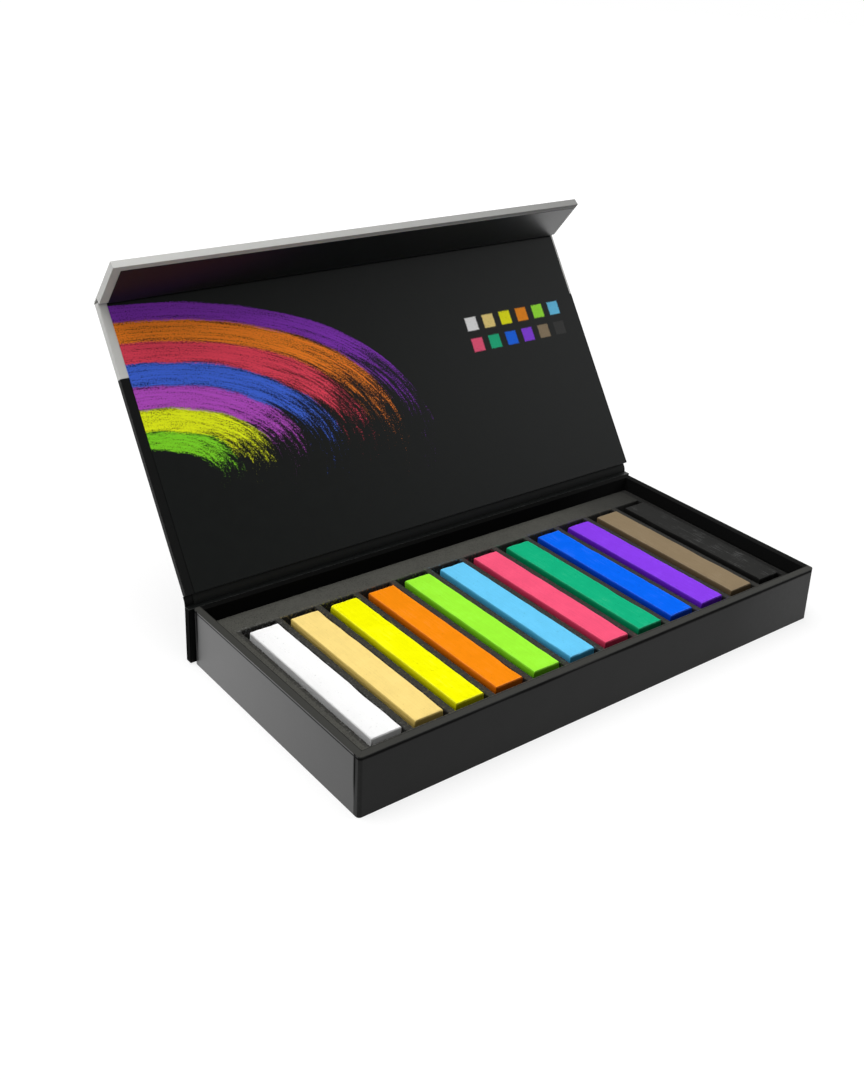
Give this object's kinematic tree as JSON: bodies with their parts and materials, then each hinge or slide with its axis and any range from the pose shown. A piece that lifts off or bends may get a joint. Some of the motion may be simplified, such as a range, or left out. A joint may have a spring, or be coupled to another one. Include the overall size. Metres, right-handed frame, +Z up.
{
  "type": "hinged pastel box",
  "caption": "Paper-wrapped tray with a book-style hinged lid and closing flap, holding a row of square soft pastels in a slotted foam insert.",
  "frame": {"origin": "middle of the tray's underside, on the surface the box stands on", "axes": "+X along the row of pastels, +Y from the front wall to the spine, +Z up"},
  "size_m": [0.187, 0.1465, 0.1173],
  "materials": {
    "grey_board": "matte",
    "black_wrap": "satin",
    "cover_wrap": "satin",
    "inner_lining": "satin",
    "hinge_paper": "satin",
    "foam": "matte",
    "magnet": "polished",
    "steel_disc": "satin",
    "chalk_white": "matte",
    "chalk_peach": "matte",
    "chalk_yellow": "matte",
    "chalk_orange": "matte",
    "chalk_lime": "matte",
    "chalk_sky_blue": "matte",
    "chalk_rose": "matte",
    "chalk_green": "matte",
    "chalk_blue": "matte",
    "chalk_violet": "matte",
    "chalk_tan": "matte",
    "chalk_black": "matte"
  },
  "bodies": {
    "tray": {"tray_front_board": "grey_board", "tray_back_board": "grey_board", "tray_left_board": "grey_board", "tray_right_board": "grey_board", "tray_floor_board": "grey_board", "catch_disc_left": "steel_disc", "catch_disc_right": "steel_disc", "tray_base_wrap": "black_wrap", "tray_side_wrap": "black_wrap", "tray_floor_lining": "inner_lining", "foam_base_pad": "foam", "foam_insert": "foam", "spine_board": "grey_board", "spine_wrap": "cover_wrap", "spine_lining": "inner_lining"},
    "lid": {"lid_board": "grey_board", "lid_wrap": "cover_wrap", "lid_lining": "inner_lining", "lid_hinge_paper": "hinge_paper"},
    "flap": {"flap_board": "grey_board", "flap_magnet_left": "magnet", "flap_magnet_right": "magnet", "flap_wrap": "cover_wrap", "flap_lining": "inner_lining", "flap_hinge_paper": "cover_wrap"},
    "white_pastel": {"pastel_white": "chalk_white"},
    "peach_pastel": {"pastel_peach": "chalk_peach"},
    "yellow_pastel": {"pastel_yellow": "chalk_yellow"},
    "orange_pastel": {"pastel_orange": "chalk_orange"},
    "lime_pastel": {"pastel_lime": "chalk_lime"},
    "sky_blue_pastel": {"pastel_sky_blue": "chalk_sky_blue"},
    "rose_pastel": {"pastel_rose": "chalk_rose"},
    "green_pastel": {"pastel_green": "chalk_green"},
    "blue_pastel": {"pastel_blue": "chalk_blue"},
    "violet_pastel": {"pastel_violet": "chalk_violet"},
    "tan_pastel": {"pastel_tan": "chalk_tan"},
    "black_pastel": {"pastel_black": "chalk_black"}
  },
  "joints": [
    {"name": "lid_hinge", "type": "hinge", "parent": "tray", "child": "lid", "pos_m": [0, 0.0476, 0.02175], "axis": [-1, 0, 0], "range_deg": [-124, 56], "deforming": ["lid_hinge_paper"]},
    {"name": "flap_hinge", "type": "hinge", "parent": "lid", "child": "flap", "pos_m": [0, 0.1007, 0.10047], "axis": [-1, 0, 0], "range_deg": [-16, 74], "deforming": ["flap_hinge_paper"]},
    {"name": "lift_white", "type": "slide", "parent": "tray", "child": "white_pastel", "axis": [0, 0, 1], "range_m": [0, 0.028]},
    {"name": "lift_peach", "type": "slide", "parent": "tray", "child": "peach_pastel", "axis": [0, 0, 1], "range_m": [0, 0.028]},
    {"name": "lift_yellow", "type": "slide", "parent": "tray", "child": "yellow_pastel", "axis": [0, 0, 1], "range_m": [0, 0.028]},
    {"name": "lift_orange", "type": "slide", "parent": "tray", "child": "orange_pastel", "axis": [0, 0, 1], "range_m": [0, 0.028]},
    {"name": "lift_lime", "type": "slide", "parent": "tray", "child": "lime_pastel", "axis": [0, 0, 1], "range_m": [0, 0.028]},
    {"name": "lift_sky_blue", "type": "slide", "parent": "tray", "child": "sky_blue_pastel", "axis": [0, 0, 1], "range_m": [0, 0.028]},
    {"name": "lift_rose", "type": "slide", "parent": "tray", "child": "rose_pastel", "axis": [0, 0, 1], "range_m": [0, 0.028]},
    {"name": "lift_green", "type": "slide", "parent": "tray", "child": "green_pastel", "axis": [0, 0, 1], "range_m": [0, 0.028]},
    {"name": "lift_blue", "type": "slide", "parent": "tray", "child": "blue_pastel", "axis": [0, 0, 1], "range_m": [0, 0.028]},
    {"name": "lift_violet", "type": "slide", "parent": "tray", "child": "violet_pastel", "axis": [0, 0, 1], "range_m": [0, 0.028]},
    {"name": "lift_tan", "type": "slide", "parent": "tray", "child": "tan_pastel", "axis": [0, 0, 1], "range_m": [0, 0.028]},
    {"name": "lift_black", "type": "slide", "parent": "tray", "child": "black_pastel", "axis": [0, 0, 1], "range_m": [0, 0.028]}
  ]
}
